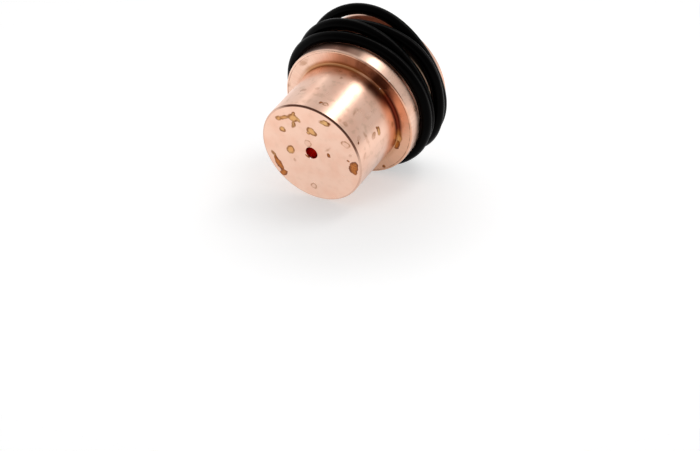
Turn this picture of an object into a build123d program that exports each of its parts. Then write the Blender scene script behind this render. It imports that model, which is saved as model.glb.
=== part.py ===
"""Plasma torch nozzle: a turned copper body with four O-rings lying askew on its seal seat.

Millimetres. The origin is the centre of the flat nose face, where the arc leaves, and +Z runs
along the axis to the rear, so the nozzle stands on its nose face.
"""

import os
from math import cos, radians, sin
from typing import NamedTuple

from build123d import *

os.makedirs("parts", exist_ok=True)

# Nose: a plain cylinder that ends in the flat face
nose_radius = 8.5
nose_length = 11.0
nose_edge = 0.1
nose_root_fillet = 0.3

# Land: the wide collar behind the nose, whose front is the shoulder
land_radius = 10.92
land_length = 2.35

# O-rings: four alike, of round rubber cord, slack round the ridges and dropped off the land's edge.
# They lie askew by waves, and a sway is the unit of the waves' heights.
cord_diameter = 1.78
ridge_slack = 0.12
land_drop = 0.2
ring_sway = 1.0

# Undercut and front ridge, which carry the front O-ring, each a step down from the land
undercut_step = 0.72
undercut_length = 0.82
front_ridge_step = 0.52
front_ridge_length = 0.66

# Seal grooves, each as wide as the cord and the room beside it, with a ridge behind each
groove_depth = 1.0
groove_corner = 0.2
front_groove_room = 1.33
rear_groove_room = 0.81
middle_ridge_step = 0.32
middle_ridge_length = 0.89
rear_flange_step = 0.32
rear_flange_length = 0.78

# Outer edges of the land, the ridges and the flange
collar_edge = 0.08

# Inside: the rear seat, the plenum and its cone, which narrows to the orifice
seat_radius = 7.6
seat_depth = 5.0
seat_mouth_edge = 0.4
plenum_radius = 6.2
plenum_floor = 8.6
plenum_corner = 1.0
orifice_radius = 0.975
orifice_length = 4.0
orifice_edge = 0.08

# Radii of the seal seat, which goes into one bore with the land
undercut_radius = land_radius - undercut_step
front_ridge_radius = land_radius - front_ridge_step
middle_ridge_radius = land_radius - middle_ridge_step
rear_flange_radius = land_radius - rear_flange_step
groove_radius = middle_ridge_radius - groove_depth

# Stations along the axis, from the nose face to the rear face
land_rear = nose_length + land_length
front_ridge = land_rear + undercut_length
front_groove = front_ridge + front_ridge_length
middle_ridge = front_groove + cord_diameter + front_groove_room
rear_groove = middle_ridge + middle_ridge_length
rear_flange = rear_groove + cord_diameter + rear_groove_room
rear_face = rear_flange + rear_flange_length
seat_floor = rear_face - seat_depth

cord_radius = cord_diameter / 2
route_points = 24


class Wave(NamedTuple):
    """A wave round the axis: its height in sways and the direction of one crest in degrees from +X."""

    amount: float
    direction: float


class Lie(NamedTuple):
    """How a loose ring lies on the seal seat.

    Room is the space along the axis in front of it, in sways, and inner_radius is that of the ring
    laid flat. Rise bends it along the axis and reach in and out, each by waves of one, two and
    three crests.
    """

    room: float
    inner_radius: float
    rise: tuple[Wave, ...]
    reach: tuple[Wave, ...]


ring_lies = {
    "o_ring_front": Lie(
        room=0.48,
        inner_radius=land_radius - land_drop,
        rise=(Wave(0.2, 55), Wave(0.05, -40), Wave(0.15, 35)),
        reach=(Wave(0.35, 120), Wave(0.2, 120)),
    ),
    "o_ring_front_inner": Lie(
        room=0.12,
        inner_radius=middle_ridge_radius + ridge_slack,
        rise=(Wave(0.35, 65), Wave(0.1, 100), Wave(0.15, 40)),
        reach=(Wave(0.85, 155), Wave(0.25, 75), Wave(0.45, -15)),
    ),
    "o_ring_rear_inner": Lie(
        room=0.17,
        inner_radius=middle_ridge_radius + ridge_slack,
        rise=(Wave(0.35, 60), Wave(0.15, -60), Wave(0.5, 40)),
        reach=(Wave(0.05, 35), Wave(0, 0), Wave(0.1, 40)),
    ),
    "o_ring_rear": Lie(
        room=0.72,
        inner_radius=rear_flange_radius + ridge_slack,
        rise=(Wave(0.5, 125), Wave(0.3, 65), Wave(0.15, -20)),
        reach=(Wave(0.8, 135), Wave(0.15, 70), Wave(0.2, -5)),
    ),
}


def total(waves: tuple[Wave, ...], angle: float) -> float:
    """Returns the sum of the waves at one angle; the first has one crest, the next has two."""
    numbered = enumerate(waves, 1)
    sways = sum(wave.amount * cos(radians(crests * (angle - wave.direction))) for crests, wave in numbered)
    return sways * ring_sway


def ring_point(lie: Lie, height: float, angle: float) -> tuple[float, float, float]:
    """Returns the middle of a ring's cord at one angle round the axis."""
    radius = lie.inner_radius + cord_radius + total(lie.reach, angle)
    return radius * cos(radians(angle)), radius * sin(radians(angle)), height + total(lie.rise, angle)


# Body: the outer and the inner outline as one section, turned round the axis
outline = [
    (orifice_radius, 0),
    (nose_radius, 0),
    (nose_radius, nose_length),
    (land_radius, nose_length),
    (land_radius, land_rear),
    (undercut_radius, land_rear),
    (undercut_radius, front_ridge),
    (front_ridge_radius, front_ridge),
    (front_ridge_radius, front_groove),
    (groove_radius, front_groove),
    (groove_radius, middle_ridge),
    (middle_ridge_radius, middle_ridge),
    (middle_ridge_radius, rear_groove),
    (groove_radius, rear_groove),
    (groove_radius, rear_flange),
    (rear_flange_radius, rear_flange),
    (rear_flange_radius, rear_face),
    (seat_radius, rear_face),
    (seat_radius, seat_floor),
    (plenum_radius, seat_floor),
    (plenum_radius, plenum_floor),
    (orifice_radius, orifice_length),
]
collar_corners = [
    (land_radius, nose_length),
    (land_radius, land_rear),
    (front_ridge_radius, front_ridge),
    (front_ridge_radius, front_groove),
    (middle_ridge_radius, middle_ridge),
    (middle_ridge_radius, rear_groove),
    (rear_flange_radius, rear_flange),
    (rear_flange_radius, rear_face),
]
groove_corners = [
    (groove_radius, front_groove),
    (groove_radius, middle_ridge),
    (groove_radius, rear_groove),
    (groove_radius, rear_flange),
]

with BuildPart() as nozzle_body:
    with BuildSketch(Plane.XZ) as section:
        with BuildLine():
            Polyline(*outline, close=True)
        make_face()

        def corners(*places: tuple[float, float]) -> ShapeList:
            """Returns the section's corner nearest to each place."""
            return ShapeList(section.vertices().sort_by_distance((*place, 0))[0] for place in places)

        chamfer(corners(*collar_corners), length=collar_edge)
        chamfer(corners((nose_radius, 0)), length=nose_edge)
        chamfer(corners((orifice_radius, 0)), length=orifice_edge)
        chamfer(corners((seat_radius, rear_face)), length=seat_mouth_edge)
        fillet(corners((nose_radius, nose_length)), radius=nose_root_fillet)
        fillet(corners(*groove_corners), radius=groove_corner)
        fillet(corners((plenum_radius, plenum_floor)), radius=plenum_corner)
    revolve(axis=Axis.Z)
nozzle_body.part.label = "nozzle_body"
export_step(nozzle_body.part, "parts/nozzle_body.step")

# Rings: round cord swept along each lie, in two halves that meet face to face
height = front_ridge - cord_diameter
for name, lie in ring_lies.items():
    height += cord_diameter + lie.room * ring_sway
    points = [ring_point(lie, height, 360 * step / route_points) for step in range(route_points)]
    route = Spline(*points, periodic=True)
    with BuildPart() as o_ring:
        for half in (route.trim(0, 0.5), route.trim(0.5, 1)):
            with BuildLine():
                add(half)
            with BuildSketch(Plane(origin=half @ 0, z_dir=half % 0)):
                Circle(cord_radius)
            sweep()
    o_ring.part.label = name
    export_step(o_ring.part, f"parts/{name}.step")
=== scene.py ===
"""Looks of the plasma torch nozzle: stained turned copper, black rubber rings, and a pale studio."""

import logging
import math
from dataclasses import dataclass
from enum import Enum
from typing import Optional, Sequence, Union

import bpy
from mathutils import Matrix, Vector

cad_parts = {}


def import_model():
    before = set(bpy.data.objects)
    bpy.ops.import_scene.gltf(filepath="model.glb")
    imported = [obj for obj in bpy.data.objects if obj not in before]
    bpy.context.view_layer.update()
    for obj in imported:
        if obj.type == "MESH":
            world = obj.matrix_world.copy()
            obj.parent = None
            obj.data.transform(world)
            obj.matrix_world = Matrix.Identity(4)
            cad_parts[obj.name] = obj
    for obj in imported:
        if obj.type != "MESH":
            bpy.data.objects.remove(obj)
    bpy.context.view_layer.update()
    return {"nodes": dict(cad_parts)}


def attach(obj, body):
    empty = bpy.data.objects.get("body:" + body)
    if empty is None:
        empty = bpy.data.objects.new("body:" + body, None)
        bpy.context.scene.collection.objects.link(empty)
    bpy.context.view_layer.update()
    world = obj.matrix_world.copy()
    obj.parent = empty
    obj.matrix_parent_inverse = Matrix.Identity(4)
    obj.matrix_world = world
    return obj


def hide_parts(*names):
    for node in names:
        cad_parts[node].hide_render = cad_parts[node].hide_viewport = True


log = logging.getLogger("nozzle")

MM = 0.001

# Lengths that the body and the marks on it share, in millimetres
NOSE_RADIUS = 8.5
SHOULDER_HEIGHT = 11.0
SHOULDER_MIDDLE = 9.7

Number = Union[int, float]
Point = tuple[float, float, float]
Colour = tuple[float, float, float]


class Shade:
    """A number or vector that travels between nodes, with Python's operators as maths."""

    def __init__(self, sheet: "NodeSheet", socket: bpy.types.NodeSocket) -> None:
        """Wraps one output socket.

        Args:
            sheet: The sheet that the socket's node stands on.
            socket: The output to carry.
        """
        self.sheet = sheet
        self.socket = socket

    def _maths(self, operation: str, *values: "Operand") -> "Shade":
        """Adds one Math node to the sheet and returns its result."""
        return self.sheet.node("ShaderNodeMath", {"operation": operation}, dict(enumerate(values)))

    def __add__(self, other: "Operand") -> "Shade":
        """Returns self + other."""
        return self._maths("ADD", self, other)

    def __radd__(self, other: Number) -> "Shade":
        """Returns other + self."""
        return self._maths("ADD", other, self)

    def __sub__(self, other: "Operand") -> "Shade":
        """Returns self - other."""
        return self._maths("SUBTRACT", self, other)

    def __rsub__(self, other: Number) -> "Shade":
        """Returns other - self."""
        return self._maths("SUBTRACT", other, self)

    def __mul__(self, other: "Operand") -> "Shade":
        """Returns self * other."""
        return self._maths("MULTIPLY", self, other)

    def __rmul__(self, other: Number) -> "Shade":
        """Returns other * self."""
        return self._maths("MULTIPLY", other, self)

    def __truediv__(self, other: "Operand") -> "Shade":
        """Returns self / other."""
        return self._maths("DIVIDE", self, other)

    def __neg__(self) -> "Shade":
        """Returns -self."""
        return self._maths("MULTIPLY", self, -1.0)

    def __abs__(self) -> "Shade":
        """Returns the size of self without its sign."""
        return self._maths("ABSOLUTE", self)

    def __gt__(self, other: "Operand") -> "Shade":
        """Returns 1 where self is greater than other, and 0 elsewhere."""
        return self._maths("GREATER_THAN", self, other)

    def __lt__(self, other: "Operand") -> "Shade":
        """Returns 1 where self is less than other, and 0 elsewhere."""
        return self._maths("LESS_THAN", self, other)

    def least(self, other: "Operand") -> "Shade":
        """Returns the smaller of self and other."""
        return self._maths("MINIMUM", self, other)

    def most(self, other: "Operand") -> "Shade":
        """Returns the larger of self and other."""
        return self._maths("MAXIMUM", self, other)

    def direction(self, other: "Operand") -> "Shade":
        """Returns the angle whose tangent is self / other, in radians."""
        return self._maths("ARCTAN2", self, other)

    def ramp(self, low: Number, high: Number) -> "Shade":
        """Returns self eased from 0 at low to 1 at high, and held there; low may be the larger."""
        values = {"Value": self, "From Min": low, "From Max": high}
        return self.sheet.node("ShaderNodeMapRange", {"interpolation_type": "SMOOTHSTEP"}, values)

    def band(self, middle: Number, half: Number) -> "Shade":
        """Returns 1 where self is at middle, eased to 0 at half away from it."""
        return abs(self - middle).ramp(half, 0.0)


Operand = Union[Shade, Number]


class NodeSheet:
    """A node tree that plain expressions build."""

    tree: bpy.types.NodeTree

    def node(
        self,
        kind: str,
        settings: Optional[dict[str, object]] = None,
        inputs: Optional[dict[Union[str, int], object]] = None,
        output: Union[str, int] = 0,
    ) -> Shade:
        """Adds one node.

        Args:
            kind: The node's Blender type.
            settings: The node's own properties, set before its inputs.
            inputs: Values or shades by socket name or place.
            output: The output to return, by name or place.

        Returns:
            The chosen output.
        """
        made = self.tree.nodes.new(kind)
        for key, value in (settings or {}).items():
            setattr(made, key, value)
        for key, value in (inputs or {}).items():
            socket = made.inputs[key]
            if isinstance(value, Shade):
                self.tree.links.new(value.socket, socket)
            elif socket.type == "RGBA":
                socket.default_value = (*value, 1.0)
            else:
                socket.default_value = value
        return Shade(self, made.outputs[output] if made.outputs else None)

    def vector(self, operation: str, *values: object, output: str = "Vector") -> Shade:
        """Adds one Vector Math node and returns its result."""
        return self.node("ShaderNodeVectorMath", {"operation": operation}, dict(enumerate(values)), output)

    def dot(self, vector: Shade, other: Union[Shade, Point]) -> Shade:
        """Returns how far one vector runs along another."""
        return self.vector("DOT_PRODUCT", vector, other, output="Value")

    def length(self, vector: Shade) -> Shade:
        """Returns the length of a vector."""
        return self.vector("LENGTH", vector, output="Value")

    def scaled(self, vector: Shade, factor: Operand) -> Shade:
        """Returns a vector times a number."""
        values = {0: vector, "Scale": factor}
        return self.node("ShaderNodeVectorMath", {"operation": "SCALE"}, values, "Vector")

    def split(self, vector: Shade) -> tuple[Shade, Shade, Shade]:
        """Returns the three parts of a vector."""
        parted = self.node("ShaderNodeSeparateXYZ", inputs={0: vector})
        outputs = parted.socket.node.outputs
        return Shade(self, outputs[0]), Shade(self, outputs[1]), Shade(self, outputs[2])

    def join(self, x: Operand, y: Operand, z: Operand) -> Shade:
        """Returns a vector made of three numbers."""
        return self.node("ShaderNodeCombineXYZ", inputs={0: x, 1: y, 2: z})


class ShaderSheet(NodeSheet):
    """The node tree of one material, or of the world."""

    def __init__(self, name: str, world: Optional[bpy.types.World] = None) -> None:
        """Makes an empty material, or empties a world.

        Args:
            name: The material's name.
            world: The world to use in place of a new material.
        """
        self.owner = world or bpy.data.materials.new(name)
        self.owner.use_nodes = True
        self.tree = self.owner.node_tree
        self.tree.nodes.clear()

    def mix(self, factor: Operand, below: object, above: object) -> Shade:
        """Returns one colour laid over another.

        Args:
            factor: How much of the upper colour shows.
            below: The lower colour.
            above: The upper colour.

        Returns:
            The mixed colour.
        """
        colours = {0: factor, 6: below, 7: above}
        return self.node("ShaderNodeMix", {"data_type": "RGBA"}, colours, 2)

    def place(self) -> Shade:
        """Returns the point's place on the object, in millimetres."""
        return self.scaled(self.node("ShaderNodeTexCoord", output="Object"), 1 / MM)

    def noise(self, vector: Shade, scale: Number, detail: Number = 2.0, output: str = "Fac") -> Shade:
        """Returns soft noise from 0 to 1 round 0.5.

        Args:
            vector: Where the noise is read.
            scale: How many blobs fit in one unit.
            detail: How many finer layers are added.
            output: Fac for a number, or Color for three at once.

        Returns:
            The noise.
        """
        values = {"Vector": vector, "Scale": scale, "Detail": detail}
        return self.node("ShaderNodeTexNoise", None, values, output)

    def bump(self, height: Shade, distance: Number) -> Shade:
        """Returns the surface normal bent by a height, where a height of 1 is distance in metres."""
        values = {"Height": height, "Distance": distance, "Strength": 1.0}
        return self.node("ShaderNodeBump", None, values, "Normal")

    def glow(self, level: Shade) -> Shade:
        """Returns white light of one level, from 0 for none."""
        return self.node("ShaderNodeEmission", None, {"Color": self.join(level, level, level)})

    def finish(self, surface: Shade) -> Union[bpy.types.Material, bpy.types.World]:
        """Ends the tree at a surface shader and returns its material or world."""
        kind = "World" if isinstance(self.owner, bpy.types.World) else "Material"
        self.node(f"ShaderNodeOutput{kind}", None, {"Surface": surface})
        return self.owner


class FormSheet(NodeSheet):
    """One Geometry Nodes tree with named inputs, which turns a curve into a finished mesh."""

    def __init__(self, name: str) -> None:
        """Makes an empty tree.

        Args:
            name: The tree's name.
        """
        self.tree = bpy.data.node_groups.new(name, "GeometryNodeTree")
        self.tree.interface.new_socket("Geometry", in_out="OUTPUT", socket_type="NodeSocketGeometry")
        self.source = self.tree.nodes.new("NodeGroupInput")
        self.identifiers: dict[str, str] = {}
        self.curve = self.entry("Geometry", "Geometry")

    def entry(self, name: str, kind: str) -> Shade:
        """Adds one named input.

        Args:
            name: The input's name.
            kind: What it takes, such as Float, Int or Material.

        Returns:
            The input, for use in the tree.
        """
        kind = f"NodeSocket{kind}"
        item = self.tree.interface.new_socket(name, in_out="INPUT", socket_type=kind)
        self.identifiers[name] = item.identifier
        return Shade(self, self.source.outputs[name])

    def end(self, geometry: Shade, finish: Shade) -> None:
        """Ends the tree at a smooth mesh that wears a material."""
        smooth = self.node("GeometryNodeSetShadeSmooth", None, {"Geometry": geometry})
        whole = self.node("GeometryNodeRealizeInstances", None, {0: smooth})
        dressed = self.node("GeometryNodeSetMaterial", None, {"Geometry": whole, "Material": finish})
        self.node("NodeGroupOutput", None, {0: dressed})

    def shape(self, name: str, curve: bpy.types.Curve, values: dict[str, object]) -> bpy.types.Object:
        """Runs the tree on one curve.

        Args:
            name: The finished piece's name.
            curve: The curve that the tree starts from.
            values: What each named input gets.

        Returns:
            The finished piece, a plain mesh at the origin.
        """
        pattern = bpy.data.objects.new(f"{name}_pattern", curve)
        bpy.context.collection.objects.link(pattern)
        modifier = pattern.modifiers.new(self.tree.name, "NODES")
        modifier.node_group = self.tree
        for entry, value in values.items():
            modifier[self.identifiers[entry]] = value
        evaluated = pattern.evaluated_get(bpy.context.evaluated_depsgraph_get())
        mesh = bpy.data.meshes.new_from_object(evaluated)
        mesh.name = name
        bpy.data.objects.remove(pattern)
        piece = bpy.data.objects.new(name, mesh)
        bpy.context.collection.objects.link(piece)
        return piece


def closed_curve(name: str, points: Sequence[Sequence[float]]) -> bpy.types.Curve:
    """Returns a closed curve with straight runs through the points, given in millimetres."""
    curve = bpy.data.curves.new(name, "CURVE")
    curve.dimensions = "3D"
    spline = curve.splines.new("POLY")
    spline.points.add(len(points) - 1)
    for knot, point in zip(spline.points, points):
        knot.co = (*(MM * part for part in point), 1.0)
    spline.use_cyclic_u = True
    return curve


class Chart(Enum):
    """The surfaces that a mark can lie on, each with flat coordinates in millimetres.

    On the face they are x and y. On the side they are the way round the nose, from -Y towards -X, and
    the height. On the shoulder they are the way round its middle and the distance from the axis.
    """

    FACE = 0
    SIDE = 100
    SHOULDER = 200


class Mark(Enum):
    """The kinds of mark on the copper."""

    GOLD = "dried drop, golden brown with a darker rim"
    BURNT = "dark brown burnt spot"
    FAINT = "pale outline of a drop"
    SMUDGE = "soft brown smudge"
    # Nicks are bright bare metal, and in part a painted highlight.
    NICK_AND_GLINT = "bright bare nick"


@dataclass(frozen=True)
class Spot:
    """One oval mark: its chart, kind, middle, half length, half width and turn in degrees."""

    chart: Chart
    mark: Mark
    across: float
    up: float
    half_length: float
    half_width: float
    turn: float = 0.0


def side(mark: Mark, angle: float, height: float, *form: float) -> Spot:
    """Returns a spot on the nose's side, placed by its angle from -Y towards -X and its height."""
    return Spot(Chart.SIDE, mark, math.radians(angle) * NOSE_RADIUS, height, *form)


def shoulder(mark: Mark, angle: float, reach: float, *form: float) -> Spot:
    """Returns a spot on the shoulder, placed by its angle from -Y towards -X and its reach."""
    return Spot(Chart.SHOULDER, mark, math.radians(angle) * SHOULDER_MIDDLE, reach, *form)


FACE_SPOTS = (
    Spot(Chart.FACE, Mark.BURNT, 6.15, -3.75, 1.2, 0.7, 80),
    Spot(Chart.FACE, Mark.BURNT, 6.65, -3.1, 0.55, 0.45, 20),
    Spot(Chart.FACE, Mark.BURNT, 5.0, -3.95, 0.24, 0.18),
    Spot(Chart.FACE, Mark.BURNT, 2.25, -2.05, 0.4, 0.3, 60),
    Spot(Chart.FACE, Mark.BURNT, -2.85, 6.55, 1.35, 0.58, 27),
    Spot(Chart.FACE, Mark.BURNT, -1.45, 7.4, 0.62, 0.55, 110),
    Spot(Chart.FACE, Mark.GOLD, -4.2, 5.75, 0.5, 0.2, 30),
    Spot(Chart.FACE, Mark.GOLD, -1.2, -7.0, 0.85, 0.4, 145),
    Spot(Chart.FACE, Mark.BURNT, -0.65, -7.4, 0.24, 0.13, 145),
    Spot(Chart.FACE, Mark.GOLD, -1.95, -3.67, 0.8, 0.58, 0),
    Spot(Chart.FACE, Mark.GOLD, -2.15, -3.05, 0.25, 0.3, 0),
    Spot(Chart.FACE, Mark.GOLD, -5.35, -3.3, 0.8, 0.62, 160),
    Spot(Chart.FACE, Mark.GOLD, -4.6, -3.65, 0.42, 0.26, 30),
    Spot(Chart.FACE, Mark.GOLD, -5.7, -3.9, 0.22, 0.36, 0),
    Spot(Chart.FACE, Mark.GOLD, -4.8, -2.4, 0.65, 0.24, 70),
    Spot(Chart.FACE, Mark.GOLD, -6.45, -2.1, 0.95, 0.22, 118),
    Spot(Chart.FACE, Mark.GOLD, -7.05, -1.1, 0.45, 0.3, 110),
    Spot(Chart.FACE, Mark.GOLD, -5.57, 0.15, 0.45, 0.45),
    Spot(Chart.FACE, Mark.GOLD, -2.75, 2.45, 0.72, 0.6, 80),
    Spot(Chart.FACE, Mark.FAINT, 3.1, -6.4, 0.65, 0.5, 150),
    Spot(Chart.FACE, Mark.FAINT, -1.3, -1.15, 0.6, 0.5, 60),
    Spot(Chart.FACE, Mark.FAINT, 3.35, 5.25, 0.46, 0.4),
    Spot(Chart.FACE, Mark.SMUDGE, -1.28, 3.65, 0.25, 0.25),
    Spot(Chart.FACE, Mark.SMUDGE, 4.7, -5.2, 0.3, 0.3),
    Spot(Chart.FACE, Mark.SMUDGE, 1.6, -3.0, 0.6, 0.16, 100),
    Spot(Chart.FACE, Mark.BURNT, -0.15, 1.12, 0.42, 0.2),
    # Painted highlight: the shine of the orifice's chamfer, laid as a nick.
    Spot(Chart.FACE, Mark.NICK_AND_GLINT, 0.42, 1.0, 0.18, 0.12, 40),
)

SIDE_SPOTS = (
    side(Mark.BURNT, 25.4, 1.95, 0.22, 0.18),
    side(Mark.FAINT, 20.5, 2.05, 0.4, 0.32),
    side(Mark.GOLD, -39.5, 6.15, 0.55, 0.36),
    side(Mark.BURNT, -35.2, 6.0, 0.22, 0.18),
    side(Mark.FAINT, -39.0, 4.7, 0.5, 0.35, 60),
    side(Mark.SMUDGE, -39.0, 4.7, 0.5, 0.35, 60),
    side(Mark.SMUDGE, -34.0, 3.1, 1.0, 0.3),
    side(Mark.BURNT, -31.3, 1.15, 0.26, 0.2, 40),
    side(Mark.SMUDGE, -28.0, 1.65, 0.3, 0.5),
    side(Mark.SMUDGE, -7.5, 1.2, 0.5, 0.35),
    side(Mark.SMUDGE, -1.0, 1.0, 0.35, 0.3),
    side(Mark.SMUDGE, -7.0, 4.0, 0.5, 0.16, 80),
    side(Mark.SMUDGE, -48.0, 1.5, 0.5, 0.3, 40),
    side(Mark.SMUDGE, 55.0, 4.0, 0.6, 0.4),
    side(Mark.SMUDGE, 40.0, 4.6, 0.35, 0.3),
    side(Mark.SMUDGE, 10.5, 4.6, 0.14, 0.2),
    side(Mark.SMUDGE, 37.0, 9.8, 0.8, 0.4),
    side(Mark.SMUDGE, 20.0, 10.0, 0.7, 0.45),
    side(Mark.SMUDGE, 27.0, 8.4, 0.25, 0.3),
    side(Mark.SMUDGE, -48.0, 9.7, 0.5, 0.3),
    side(Mark.NICK_AND_GLINT, -10.0, 11.25, 0.28, 0.07, 90),
    side(Mark.SMUDGE, -42.0, 12.8, 0.35, 0.4),
    side(Mark.SMUDGE, 117.0, 12.3, 0.35, 0.5),
    side(Mark.SMUDGE, -119.0, 12.3, 0.3, 0.5),
    shoulder(Mark.SMUDGE, 79.0, 10.1, 1.1, 0.4),
    shoulder(Mark.SMUDGE, 113.0, 10.45, 0.5, 0.28),
    shoulder(Mark.SMUDGE, -53.0, 9.3, 0.6, 0.4),
    shoulder(Mark.GOLD, -73.0, 8.8, 1.4, 0.5),
    shoulder(Mark.BURNT, -80.0, 8.9, 1.0, 0.5),
    shoulder(Mark.BURNT, -114.0, 10.3, 0.3, 0.22),
)


@dataclass(frozen=True)
class Ground:
    """What all layers of the copper read: where a point lies, in millimetres, and the noise there.

    Angle is the way round the axis from -Y towards -X in radians, and turn is the same in degrees.
    In root is 1 in the corner between the nose and the shoulder, and red side is 1 where the bloom
    in that corner is at its darkest.
    """

    place: Shade
    height: Shade
    reach: Shade
    angle: Shade
    turn: Shade
    on_side: Shade
    on_shoulder: Shade
    chart: Shade
    in_root: Shade
    red_side: Shade
    mottle: Shade
    grain: Shade
    patches: Shade
    uneven: Shade


@dataclass(frozen=True)
class CopperFinish:
    """Bare turned copper, handled, with dried drops on it and a brown bloom in its corners."""

    bare: Colour = (0.88, 0.58, 0.45)
    rosy: Colour = (0.85, 0.52, 0.39)
    warm: Colour = (0.82, 0.43, 0.27)
    smudge: Colour = (0.6, 0.38, 0.26)
    bloom: Colour = (0.42, 0.16, 0.03)
    deep_bloom: Colour = (0.16, 0.016, 0.002)
    # Painted shade colour for the root and the shoulder.
    painted_deep_shade: Colour = (0.2, 0.05, 0.025)
    gold: Colour = (0.84, 0.49, 0.18)
    orange: Colour = (0.82, 0.4, 0.13)
    gold_rim: Colour = (0.32, 0.12, 0.03)
    burnt: Colour = (0.56, 0.17, 0.02)
    burnt_rim: Colour = (0.15, 0.03, 0.004)
    outline: Colour = (0.4, 0.18, 0.09)
    nick_and_glint: Colour = (0.95, 0.8, 0.72)
    bore_shade: Colour = (0.7, 0.06, 0.03)
    groove_shade: Colour = (0.45, 0.17, 0.1)
    shade: Colour = (0.16, 0.07, 0.045)
    rim: Colour = (0.08, 0.02, 0.008)
    line: Colour = (0.2, 0.07, 0.04)
    roughness: float = 0.3
    face_top: float = 0.31
    land_rear: float = 13.3
    spots: tuple[Spot, ...] = FACE_SPOTS + SIDE_SPOTS

    def ground(self, sheet: ShaderSheet) -> Ground:
        """Returns where each point of the copper lies and the noise there."""
        place = sheet.place()
        x, y, height = sheet.split(place)
        reach = sheet.length(sheet.join(x, y, 0.0))
        angle = (-x).direction(-y)
        turn = angle * math.degrees(1.0)
        on_face = height < self.face_top
        on_shoulder = height.band(SHOULDER_HEIGHT, 0.1) * (reach > 8.7) > 0.01
        on_side = 1 - on_face.most(on_shoulder)
        across = on_face * x + on_side * angle * NOSE_RADIUS + on_shoulder * angle * SHOULDER_MIDDLE
        side_up, shoulder_up = height + Chart.SIDE.value, reach + Chart.SHOULDER.value
        up = on_face * y + on_side * side_up + on_shoulder * shoulder_up
        wobble = sheet.vector("SUBTRACT", sheet.noise(place, 1.1, 3.0, "Color"), (0.5, 0.5, 0.5))
        wobble = sheet.vector("MULTIPLY", wobble, (0.65, 0.65, 0.0))
        from_root = sheet.length(sheet.join(reach - NOSE_RADIUS, height - SHOULDER_HEIGHT, 0.0))
        patches = sheet.noise(place, 0.9, 5.0)
        return Ground(
            place=place,
            height=height,
            reach=reach,
            angle=angle,
            turn=turn,
            on_side=on_side,
            on_shoulder=on_shoulder,
            chart=sheet.vector("ADD", sheet.join(across, up, 0.0), wobble),
            in_root=from_root.ramp(0.95, 0.3),
            red_side=turn.band(-38, 36).ramp(0.0, 0.5),
            mottle=sheet.noise(place, 0.35, 4.0),
            grain=sheet.noise(place, 4.0, 3.0),
            patches=patches,
            uneven=patches.ramp(0.38, 0.6),
        )

    def nearness(self, sheet: ShaderSheet, chart: Shade, mark: Mark) -> Shade:
        """Returns how far away a mark of one kind is, in millimetres, and less than 0 inside it."""
        nearest = None
        for spot in self.spots:
            if spot.mark is not mark:
                continue
            values = {
                "Vector": chart,
                "Location": (spot.across, spot.up + spot.chart.value, 0.0),
                "Rotation": (0.0, 0.0, math.radians(spot.turn)),
                "Scale": (spot.half_length, spot.half_width, 1.0),
            }
            local = sheet.node("ShaderNodeMapping", {"vector_type": "TEXTURE"}, values)
            away = (sheet.length(local) - 1.0) * spot.half_width
            nearest = away if nearest is None else nearest.least(away)
        return nearest

    def metal(self, sheet: ShaderSheet, ground: Ground) -> Shade:
        """Returns the colour of the bare metal: mottled, warm near the root, smudged and streaked, with
        painted shade deepening the shoulder.
        """
        height = ground.height
        colour = sheet.mix(ground.mottle.ramp(0.35, 0.7), self.bare, self.rosy)
        near_root = ground.on_side * height.ramp(7.5, 10.6) * (height < SHOULDER_HEIGHT)
        # Painted shade: the shoulder is made warmer and deeper short of about 35 to 55 degrees round.
        away_from_light = ground.on_shoulder * ground.turn.ramp(55, 35)
        colour = sheet.mix((near_root + away_from_light).least(1.0) * 0.8, colour, self.warm)
        smudge = ground.patches.ramp(0.5, 0.7) * (0.15 + 0.35 * ground.on_side)
        colour = sheet.mix(smudge, colour, self.smudge)
        way = sheet.join(ground.angle * 45.0, height * 0.5, ground.reach * 0.5)
        streaks = sheet.noise(way, 1.0, 4.0).ramp(0.4, 0.8) * (height > SHOULDER_HEIGHT - 0.1)
        return sheet.mix(streaks * 0.3, colour, self.smudge)

    def shadowed(self, sheet: ShaderSheet, ground: Ground, colour: Shade) -> Shade:
        """Returns a colour with painted shade: dim patches on the land and the shoulder and beside the
        root.
        """
        height, turn = ground.height, ground.turn
        # Painted shade: a dark patch on the land from about 17 to 92 degrees round.
        on_land = height.ramp(11.15, 11.7) * (height < self.land_rear)
        dim = turn.ramp(17, 24) * turn.ramp(92, 78) * (0.65 + 0.35 * turn.ramp(25.8, 37.2))
        colour = sheet.mix(on_land * dim, colour, self.shade)
        # Painted shade: dark red-brown beside the root under the shoulder, and on the shoulder from about
        # 24 down to -34 degrees round.
        beside_root = turn.band(-13, 28).ramp(0.0, 0.7) * height.ramp(8.5, 10.2) * ground.on_side
        dark = turn.band(-6, 15).ramp(0.0, 0.7) * 0.85
        painted_red_shade = turn.ramp(24, 19) * turn.ramp(-34, -12) * (0.45 + 0.25 * ground.uneven)
        shadow = beside_root.most(ground.on_shoulder * dark.most(painted_red_shade))
        return sheet.mix(shadow * (height < 11.2) * 0.9, colour, self.painted_deep_shade)

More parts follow.
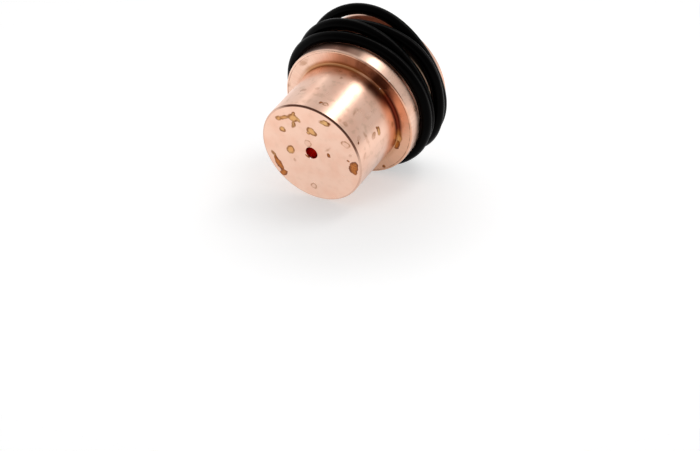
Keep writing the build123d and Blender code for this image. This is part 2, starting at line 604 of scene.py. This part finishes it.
    def stained(self, sheet: ShaderSheet, ground: Ground, colour: Shade) -> Shade:
        """Returns a colour with the bloom in the root, dark lines on the edges, a painted dark reflection
        on the nose's rim, and painted shade in the groove and the bore.
        """
        height, reach, turn = ground.height, ground.reach, ground.turn
        gold_side = turn.band(50, 50).ramp(0.0, 0.4).most(turn.band(-68, 20).ramp(0.0, 0.3) * 1.2)
        strength = (0.25 + 0.9 * ground.red_side + 0.5 * gold_side).least(1.0)
        bloom = sheet.mix(ground.red_side, self.bloom, self.deep_bloom)
        colour = sheet.mix(ground.in_root * strength, colour, bloom)
        line = reach.band(10.57, 0.1) * (height < 11.3) * (0.25 + 0.5 * ground.uneven)
        colour = sheet.mix(line, colour, self.line)
        # A dark line round the nose's edge, deepened as a painted dark reflection on the side from about
        # -50 to 75 degrees round.
        rim = height.ramp(0.26, 0.2) * reach.ramp(8.18, 8.26)
        colour = sheet.mix(rim * (0.22 + 0.7 * abs(turn - 12).ramp(64, 42)), colour, self.rim)
        # Painted shade in the undercut behind the land.
        behind = height.ramp(self.land_rear, self.land_rear + 0.3) * reach.ramp(10.55, 10.1)
        colour = sheet.mix(behind * 0.6, colour, self.groove_shade)
        # Painted shade and reflection: the inside of the bore is painted dark red.
        return sheet.mix(reach.ramp(1.06, 0.97), colour, self.bore_shade)

    def smudged(self, sheet: ShaderSheet, ground: Ground, colour: Shade) -> Shade:
        """Returns a colour with the soft smudges and the pale outlines of drops."""
        smudge = self.nearness(sheet, ground.chart, Mark.SMUDGE).ramp(0.12, -0.15)
        colour = sheet.mix(smudge * (0.25 + 0.3 * ground.uneven), colour, self.outline)
        away = self.nearness(sheet, ground.chart, Mark.FAINT)
        colour = sheet.mix(away.band(0.0, 0.17) * (0.25 + 0.65 * ground.uneven), colour, self.outline)
        return sheet.mix(away.ramp(0.0, -0.15) * 0.12, colour, self.outline)

    def dried(self, sheet: ShaderSheet, ground: Ground, colour: Shade) -> tuple[Shade, Shade]:
        """Lays the dried golden drops over a colour.

        Args:
            sheet: The copper's tree.
            ground: Where the point lies.
            colour: The colour under the drops.

        Returns:
            The colour with the drops, and where they lie.
        """
        away = self.nearness(sheet, ground.chart, Mark.GOLD)
        inside = away.ramp(0.05, -0.03)
        drop = sheet.mix(ground.mottle.ramp(0.42, 0.6), self.gold, self.orange)
        skin = sheet.mix(away.band(-0.06, 0.26) * (0.4 + 0.6 * ground.uneven), drop, self.gold_rim)
        colour = sheet.mix(inside * 0.92, colour, skin)
        rim = away.band(0.02, 0.15) * (0.35 + 0.6 * ground.uneven)
        return sheet.mix(rim, colour, self.gold_rim), inside

    def singed(self, sheet: ShaderSheet, ground: Ground, colour: Shade) -> tuple[Shade, Shade]:
        """Lays the burnt spots over a colour.

        Args:
            sheet: The copper's tree.
            ground: Where the point lies.
            colour: The colour under the spots.

        Returns:
            The colour with the spots, and where they lie.
        """
        away = self.nearness(sheet, ground.chart, Mark.BURNT)
        inside = away.ramp(0.06, -0.04)
        dark = away.ramp(-0.4, 0.0).most(ground.grain.ramp(0.5, 0.7))
        skin = sheet.mix(dark * (0.4 + 0.6 * ground.uneven), self.burnt, self.burnt_rim)
        return sheet.mix(inside * 0.95, colour, skin), inside

    def material(self) -> bpy.types.Material:
        """Returns the copper of the nozzle."""
        sheet = ShaderSheet("turned_copper")
        ground = self.ground(sheet)
        colour = self.metal(sheet, ground)
        colour = self.shadowed(sheet, ground, colour)
        colour = self.stained(sheet, ground, colour)
        colour = self.smudged(sheet, ground, colour)
        colour, gold = self.dried(sheet, ground, colour)
        colour, burnt = self.singed(sheet, ground, colour)
        # Nicks: bare metal, partly a painted highlight, also smoother and sunk.
        nick_and_glint = self.nearness(sheet, ground.chart, Mark.NICK_AND_GLINT).ramp(0.03, -0.03)
        colour = sheet.mix(nick_and_glint, colour, self.nick_and_glint)

        deposit = gold.most(burnt).most(ground.in_root * (0.3 + 0.7 * ground.red_side))
        smear = sheet.noise(sheet.vector("MULTIPLY", ground.place, (0.5, 0.5, 0.2)), 1.6, 3.0)
        roughness = self.roughness + 0.14 * (smear - 0.5) + 0.15 * deposit - 0.1 * nick_and_glint
        grooves = sheet.join(ground.reach * 14.0, ground.height * 14.0, ground.angle * 0.6)
        turned = sheet.noise(grooves, 1.0, 2.0)
        relief = 0.25 * turned + 0.15 * ground.grain + 0.8 * gold + 0.8 * burnt - 0.6 * nick_and_glint
        surface = sheet.node(
            "ShaderNodeBsdfPrincipled",
            None,
            {
                "Base Color": colour,
                "Metallic": 1.0 - 0.2 * deposit,
                "Roughness": roughness,
                "Normal": sheet.bump(relief, 0.004 * MM),
            },
        )
        return sheet.finish(surface)


@dataclass(frozen=True)
class RubberFinish:
    """Smooth black nitrile rubber, with a painted highlight along its flash line."""

    colour: Colour = (0.0006, 0.0004, 0.0004)
    dust_and_glint: Colour = (0.03, 0.028, 0.027)
    roughness: float = 0.3
    gloss: float = 0.022
    glint_line: str = "flash"

    def material(self) -> bpy.types.Material:
        """Returns the rubber of the rings."""
        sheet = ShaderSheet("black_rubber")
        place = sheet.place()
        grain = sheet.noise(place, 9.0, 3.0)
        # Painted highlight: the flash line is lightened along the rings, beside spots of real lint.
        flash_glint = sheet.node("ShaderNodeAttribute", {"attribute_name": self.glint_line}, None, "Fac")
        lint_and_glint = (sheet.noise(place, 2.2, 5.0).ramp(0.68, 0.8) * 0.25).most(flash_glint * grain.ramp(0.3, 0.6))
        surface = sheet.node(
            "ShaderNodeBsdfPrincipled",
            None,
            {
                "Base Color": sheet.mix(lint_and_glint, self.colour, self.dust_and_glint),
                "Roughness": self.roughness + 0.1 * (grain - 0.5),
                "Specular IOR Level": self.gloss,
                "Normal": sheet.bump(grain, 0.006 * MM),
            },
        )
        return sheet.finish(surface)


@dataclass(frozen=True)
class Corner:
    """One corner of the turned outline: its distance from the axis, its height and its rounding."""

    reach: float
    height: float
    edge: float


def rounded(corners: Sequence[Corner], steps: int, ease: float) -> list[tuple[float, float]]:
    """Rounds the corners of a closed outline.

    Args:
        corners: The corners in order.
        steps: How many straight runs make one rounding.
        ease: How far beside a rounding one more point keeps the flat beside it flat.

    Returns:
        The outline's points.
    """
    points = []
    for place, corner in enumerate(corners):
        here = Vector((corner.reach, corner.height))
        ways = []
        for other in (corners[place - 1], corners[(place + 1) % len(corners)]):
            ways.append((Vector((other.reach, other.height)) - here).normalized())
        half = ways[0].angle(ways[1]) / 2
        start = corner.edge / math.tan(half)
        centre = here + (ways[0] + ways[1]).normalized() * corner.edge / math.sin(half)
        first = here + ways[0] * start - centre
        last = here + ways[1] * start - centre
        sweep = first.angle(last)
        points.append(here + ways[0] * (start + ease))
        for step in range(steps + 1):
            part = step / steps
            shares = math.sin((1 - part) * sweep), math.sin(part * sweep)
            points.append(centre + (first * shares[0] + last * shares[1]) / math.sin(sweep))
        points.append(here + ways[1] * (start + ease))
    return [(point.x, point.y) for point in points]


@dataclass
class CopperBody:
    """The turned body, with the fine roundings of its edges, in millimetres."""

    node: str = "nozzle_body"
    nose_radius: float = NOSE_RADIUS
    nose_edge: float = 0.28
    shoulder: float = SHOULDER_HEIGHT
    land_radius: float = 10.92
    land_edge: float = 0.3
    land_rear: float = 13.35
    undercut_radius: float = 10.2
    front_ridge: float = 14.17
    front_ridge_radius: float = 10.4
    front_groove: float = 14.83
    groove_radius: float = 9.6
    middle_ridge: float = 17.94
    middle_ridge_radius: float = 10.6
    rear_groove: float = 18.83
    rear_flange: float = 21.42
    rear_face: float = 22.2
    seat_radius: float = 7.6
    seat_floor: float = 17.2
    plenum_radius: float = 6.2
    plenum_floor: float = 8.6
    orifice_radius: float = 0.975
    orifice_length: float = 4.0
    root_fillet: float = 0.3
    collar_edge: float = 0.1
    undercut_edge: float = 0.05
    front_ridge_edge: float = 0.08
    groove_corner: float = 0.2
    mouth_edge: float = 0.35
    inner_edge: float = 0.1
    plenum_corner: float = 1.0
    orifice_edge: float = 0.12
    segments: int = 240
    steps: int = 6
    ease: float = 0.02
    hub: float = 5.0

    def corners(self) -> list[Corner]:
        """Returns the corners of half the section, from the orifice outwards and round to the inside."""
        return [
            Corner(self.orifice_radius, 0.0, self.orifice_edge),
            Corner(self.nose_radius, 0.0, self.nose_edge),
            Corner(self.nose_radius, self.shoulder, self.root_fillet),
            Corner(self.land_radius, self.shoulder, self.land_edge),
            Corner(self.land_radius, self.land_rear, self.collar_edge),
            Corner(self.undercut_radius, self.land_rear, self.undercut_edge),
            Corner(self.undercut_radius, self.front_ridge, self.undercut_edge),
            Corner(self.front_ridge_radius, self.front_ridge, self.front_ridge_edge),
            Corner(self.front_ridge_radius, self.front_groove, self.collar_edge),
            Corner(self.groove_radius, self.front_groove, self.groove_corner),
            Corner(self.groove_radius, self.middle_ridge, self.groove_corner),
            Corner(self.middle_ridge_radius, self.middle_ridge, self.collar_edge),
            Corner(self.middle_ridge_radius, self.rear_groove, self.collar_edge),
            Corner(self.groove_radius, self.rear_groove, self.groove_corner),
            Corner(self.groove_radius, self.rear_flange, self.groove_corner),
            Corner(self.middle_ridge_radius, self.rear_flange, self.collar_edge),
            Corner(self.middle_ridge_radius, self.rear_face, self.collar_edge),
            Corner(self.seat_radius, self.rear_face, self.mouth_edge),
            Corner(self.seat_radius, self.seat_floor, self.inner_edge),
            Corner(self.plenum_radius, self.seat_floor, self.inner_edge),
            Corner(self.plenum_radius, self.plenum_floor, self.plenum_corner),
            Corner(self.orifice_radius, self.orifice_length, self.inner_edge),
        ]

    def lathe(self) -> FormSheet:
        """Returns the tree that turns an outline round the axis."""
        sheet = FormSheet("lathe")
        segments = sheet.entry("Segments", "Int")
        hub = sheet.entry("Hub Radius", "Float")
        finish = sheet.entry("Finish", "Material")
        circle = {"Resolution": segments, "Radius": hub}
        way = sheet.node("GeometryNodeCurvePrimitiveCircle", {"mode": "RADIUS"}, circle)
        level = sheet.node("GeometryNodeSetCurveNormal", {"mode": "Z_UP"}, {"Curve": way})
        parts = {"Curve": level, "Profile Curve": sheet.curve}
        sheet.end(sheet.node("GeometryNodeCurveToMesh", None, parts), finish)
        return sheet

    def build(self, finish: bpy.types.Material) -> bpy.types.Object:
        """Makes the body and puts it in the place of the plain one.

        Args:
            finish: The copper.

        Returns:
            The finished body.
        """
        outline = rounded(self.corners(), self.steps, self.ease)
        points = [(reach - self.hub, -height, 0.0) for reach, height in outline]
        values = {"Segments": self.segments, "Hub Radius": self.hub * MM, "Finish": finish}
        piece = self.lathe().shape("copper_body", closed_curve("outline", points), values)
        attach(piece, "root")
        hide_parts(self.node)
        return piece


@dataclass(frozen=True)
class Wave:
    """A wave round the axis: its height in millimetres and a crest's direction in degrees from +X."""

    amount: float
    direction: float


@dataclass(frozen=True)
class RingLie:
    """How a loose ring lies: its name, its middle height and the waves that bend it."""

    name: str
    height: float
    rise: tuple[Wave, ...]
    reach: tuple[Wave, ...]


def total(waves: tuple[Wave, ...], angle: float) -> float:
    """Returns the sum of the waves at one angle; the first has one crest, the next has two."""
    numbered = enumerate(waves, 1)
    return sum(wave.amount * math.cos(math.radians(k * (angle - wave.direction))) for k, wave in numbered)


@dataclass
class SealRings:
    """The four rings of round rubber cord, each with the thin flash of its mould, in millimetres."""

    cord_radius: float = 0.89
    inner_radius: float = 10.72
    flash_height: float = 0.025
    flash_width: float = 0.07
    sides: int = 40
    points: int = 240
    lies: tuple[RingLie, ...] = (
        RingLie(
            name="o_ring_front",
            height=14.65,
            rise=(Wave(0.2, 55), Wave(0.05, -40), Wave(0.15, 35)),
            reach=(Wave(0.35, 120), Wave(0.2, 120)),
        ),
        RingLie(
            name="o_ring_front_inner",
            height=16.55,
            rise=(Wave(0.35, 65), Wave(0.1, 100), Wave(0.15, 40)),
            reach=(Wave(0.85, 155), Wave(0.25, 75), Wave(0.45, -15)),
        ),
        RingLie(
            name="o_ring_rear_inner",
            height=18.5,
            rise=(Wave(0.35, 60), Wave(0.15, -60), Wave(0.5, 40)),
            reach=(Wave(0.05, 35), Wave(0.0, 0), Wave(0.1, 40)),
        ),
        RingLie(
            name="o_ring_rear",
            height=21.0,
            rise=(Wave(0.5, 125), Wave(0.3, 65), Wave(0.15, -20)),
            reach=(Wave(0.8, 135), Wave(0.15, 70), Wave(0.2, -5)),
        ),
    )

    def cord(self) -> FormSheet:
        """Returns the tree that sweeps a cord with a flash line along a closed path."""
        sheet = FormSheet("cord_sweep")
        radius = sheet.entry("Cord Radius", "Float")
        flash_height = sheet.entry("Flash Height", "Float")
        flash_width = sheet.entry("Flash Width", "Float")
        sides = sheet.entry("Sides", "Int")
        finish = sheet.entry("Finish", "Material")
        size = {"Resolution": sides, "Radius": radius}
        circle = sheet.node("GeometryNodeCurvePrimitiveCircle", {"mode": "RADIUS"}, size)
        spot = sheet.node("GeometryNodeInputPosition")
        off_line = abs(sheet.split(spot)[1])
        proud = (1 - off_line / flash_width).most(0.0) * flash_height
        offset = sheet.scaled(sheet.vector("NORMALIZE", spot), proud)
        # Marks where the flash stands proud, for the painted highlight along it.
        mark = {"Geometry": circle, "Name": RubberFinish.glint_line, "Value": proud / flash_height}
        marked = sheet.node("GeometryNodeStoreNamedAttribute", None, mark)
        profile = sheet.node("GeometryNodeSetPosition", None, {"Geometry": marked, "Offset": offset})
        level = sheet.node("GeometryNodeSetCurveNormal", {"mode": "Z_UP"}, {"Curve": sheet.curve})
        parts = {"Curve": level, "Profile Curve": profile}
        sheet.end(sheet.node("GeometryNodeCurveToMesh", None, parts), finish)
        return sheet

    def path(self, lie: RingLie) -> list[Point]:
        """Returns the points along the middle of one ring's cord."""
        points = []
        for step in range(self.points):
            angle = 360 * step / self.points
            way = math.radians(angle)
            reach = self.inner_radius + self.cord_radius + total(lie.reach, angle)
            height = lie.height + total(lie.rise, angle)
            points.append((reach * math.cos(way), reach * math.sin(way), height))
        return points

    def build(self, finish: bpy.types.Material) -> list[bpy.types.Object]:
        """Makes the rings and puts each in the place of its plain one.

        Args:
            finish: The rubber.

        Returns:
            The finished rings.
        """
        sheet = self.cord()
        values = {
            "Cord Radius": (self.cord_radius - self.flash_height) * MM,
            "Flash Height": self.flash_height * MM,
            "Flash Width": self.flash_width * MM,
            "Sides": self.sides,
            "Finish": finish,
        }
        pieces = []
        for lie in self.lies:
            piece = sheet.shape(f"rubber_{lie.name}", closed_curve(lie.name, self.path(lie)), values)
            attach(piece, "root")
            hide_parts(lie.name)
            pieces.append(piece)
        return pieces


def round_axis(direction: float, height: float) -> Vector:
    """Returns the way to a light.

    Args:
        direction: Its angle round the axis from -Y towards -X, in degrees.
        height: Its share of the way up the axis, as a sine.

    Returns:
        A direction of length 1.
    """
    turn, reach = math.radians(direction), math.sqrt(1 - height**2)
    return Vector((-reach * math.sin(turn), -reach * math.cos(turn), height))


@dataclass(frozen=True)
class Softbox:
    """One flat light, whose width runs round the nozzle's axis, in metres."""

    name: str
    towards: Vector
    width: float
    length: float
    radiance: float
    distance: float = 0.5

    def hang(self, middle: Vector) -> None:
        """Hangs the light so that it faces a point."""
        data = bpy.data.lights.new(self.name, "AREA")
        data.shape = "RECTANGLE"
        data.size, data.size_y = self.width, self.length
        data.energy = self.radiance * math.pi * self.width * self.length
        made = bpy.data.objects.new(self.name, data)
        across = Vector((0, 0, 1)).cross(self.towards).normalized()
        axes = Matrix((across, self.towards.cross(across), self.towards)).transposed()
        made.matrix_world = Matrix.Translation(middle + self.towards * self.distance) @ axes.to_4x4()
        made.visible_camera = False
        bpy.context.collection.objects.link(made)


@dataclass(frozen=True)
class Fall:
    """A change that eases in between two measures: nothing at start and all of amount at end."""

    amount: float
    start: float
    end: float

    def at(self, measure: Shade) -> Shade:
        """Returns the change at a measure."""
        return measure.ramp(self.start, self.end) * self.amount


@dataclass
class Studio:
    """The pale floor that the nozzle lies on in the photograph, its light and the camera."""

    floor_up: Vector = Vector((-0.595, -0.757, 0.269)).normalized()
    floor_size: float = 3.0
    floor_colour: float = 0.9
    floor_seen: float = 0.71
    floor_lift: float = 0.5
    # A painted shadow on the floor, round the point given below it.
    floor_painted_shadow: Fall = Fall(0.11, 28.0, 5.0)
    painted_shadow_middle: Point = (11.0, 0.0, -8.0)
    floor_mirrored: float = 1.19
    wide_shade: Fall = Fall(0.21, 34.0, 12.0)
    close_shade: Fall = Fall(0.42, 13.0, 2.0)
    shade_middle: Point = (8.0, 9.0, 12.0)
    floor_fade: Fall = Fall(1.0, 70.0, 105.0)
    camera_right: Vector = Vector((0.7586, -0.4194, 0.4986)).normalized()
    camera_up: Vector = Vector((-0.6515, -0.4883, 0.5805)).normalized()
    camera_back: Vector = Vector((0.0, -0.7653, -0.6437)).normalized()
    camera_place: Vector = Vector((0.0113, -0.2899, -0.2496))
    lens: float = 133.05
    middle: Vector = Vector((0, 0, 0.009))
    room_level: float = 0.72
    dark_level: float = 0.02
    dark_towards: Vector = round_axis(-15, -0.644)
    dark_core: float = math.radians(12)
    dark_edge: float = math.radians(36)
    dim: Fall = Fall(0.24, 0.6, 0.9)
    dim_towards: Vector = round_axis(60, -0.644)
    bright: Fall = Fall(0.18, 0.1, 0.8)
    bright_towards: Vector = round_axis(150, 0.2)
    boxes: tuple[Softbox, ...] = (
        Softbox("key_box", round_axis(18, 0.644), width=0.135, length=0.24, radiance=3.4),
        Softbox("side_strip", round_axis(87, 0.644), width=0.04, length=0.3, radiance=1.2),
    )

    def camera(self) -> None:
        """Places the camera where the photograph was taken from."""
        data = bpy.data.cameras.new("camera")
        data.lens = self.lens
        data.clip_start = 0.01
        data.clip_end = 20
        made = bpy.data.objects.new("camera", data)
        axes = Matrix((self.camera_right, self.camera_up, self.camera_back)).transposed()
        made.matrix_world = Matrix.Translation(self.camera_place) @ axes.to_4x4()
        bpy.context.collection.objects.link(made)
        bpy.context.scene.camera = made

    def floor(self, lowest: float) -> None:
        """Lays the floor under the nozzle as it lies, clear from behind.

        Args:
            lowest: How far the nozzle's lowest point is along floor_up.
        """
        across = self.floor_up.orthogonal().normalized()
        along = self.floor_up.cross(across)
        half = self.floor_size / 2
        signs = ((-1, -1), (1, -1), (1, 1), (-1, 1))
        corners = [self.floor_up * lowest + across * half * i + along * half * j for i, j in signs]
        mesh = bpy.data.meshes.new("floor")
        mesh.from_pydata([tuple(corner) for corner in corners], [], [(0, 1, 2, 3)])
        made = bpy.data.objects.new("floor", mesh)
        bpy.context.collection.objects.link(made)
        made.data.materials.append(self.floor_finish())

    def floor_finish(self) -> bpy.types.Material:
        """Returns the floor's material: pale with a painted shadow under the nozzle, brighter in
        reflections, clear from behind and far off.
        """
        sheet = ShaderSheet("pale_floor")
        seen = sheet.node("ShaderNodeLightPath", output="Is Camera Ray")
        mirrored = sheet.node("ShaderNodeLightPath", output="Is Glossy Ray")
        behind = sheet.node("ShaderNodeNewGeometry", output="Backfacing")
        plain = sheet.node("ShaderNodeBsdfDiffuse", None, {"Color": (self.floor_colour,) * 3})
        bright = sheet.node("ShaderNodeBsdfDiffuse", None, {"Color": (self.floor_seen,) * 3})
        # Painted shadow: the floor the camera sees is darker round a point in front of the nose.
        from_painted_shadow = sheet.length(sheet.vector("SUBTRACT", sheet.place(), self.painted_shadow_middle))
        lift = sheet.glow(self.floor_lift - self.floor_painted_shadow.at(from_painted_shadow))
        bright = sheet.node("ShaderNodeAddShader", None, {0: bright, 1: lift})
        away = sheet.length(sheet.vector("SUBTRACT", sheet.place(), self.shade_middle))
        glow = sheet.glow(self.floor_mirrored - self.wide_shade.at(away) - self.close_shade.at(away))
        clear = sheet.node("ShaderNodeBsdfTransparent")
        lit = sheet.node("ShaderNodeMixShader", None, {0: seen, 1: plain, 2: bright})
        lit = sheet.node("ShaderNodeMixShader", None, {0: mirrored, 1: lit, 2: glow})
        gone = behind.most(seen * self.floor_fade.at(away))
        return sheet.finish(sheet.node("ShaderNodeMixShader", None, {0: gone, 1: lit, 2: clear}))

    def world(self) -> None:
        """Makes the surroundings white to the camera, and to the light a pale room, dark behind it."""
        world = bpy.data.worlds.new("studio")
        bpy.context.scene.world = world
        sheet = ShaderSheet("studio", world)
        towards = sheet.node("ShaderNodeTexCoord", output="Generated")
        to_dark = sheet.dot(towards, tuple(self.dark_towards))
        dark = to_dark.ramp(math.cos(self.dark_edge), math.cos(self.dark_core))
        dim = self.dim.at(sheet.dot(towards, tuple(self.dim_towards)))
        bright = self.bright.at(sheet.dot(towards, tuple(self.bright_towards)))
        room = (self.room_level - dim + bright) * (1 - dark) + self.dark_level * dark
        seen = sheet.node("ShaderNodeLightPath", output="Is Camera Ray")
        level = seen + (1 - seen) * room
        colour = sheet.join(level, level, level)
        sheet.finish(sheet.node("ShaderNodeBackground", None, {"Color": colour}))

    def build(self, lowest: float) -> None:
        """Sets up the whole studio round a nozzle whose lowest point along floor_up is given."""
        self.camera()
        self.floor(lowest)
        self.world()
        for box in self.boxes:
            box.hang(self.middle)


def report(pieces: Sequence[bpy.types.Object]) -> None:
    """Logs each piece with its faces and its size in millimetres."""
    for piece in pieces:
        axes = zip(*(vertex.co for vertex in piece.data.vertices))
        size = " x ".join(f"{(max(axis) - min(axis)) / MM:.2f}" for axis in axes)
        log.info("%s: %d faces, %s mm", piece.name, len(piece.data.polygons), size)


def main() -> None:
    """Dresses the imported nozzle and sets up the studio."""
    logging.basicConfig(level=logging.INFO, format="%(message)s")
    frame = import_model()
    bpy.context.scene.view_settings.view_transform = "Standard"
    body = CopperBody().build(CopperFinish().material())
    rings = SealRings().build(RubberFinish().material())
    report([body, *rings])
    studio = Studio()
    solids = frame["nodes"].values()
    studio.build(min(v.co.dot(studio.floor_up) for solid in solids for v in solid.data.vertices))


if __name__ == "__main__":
    main()
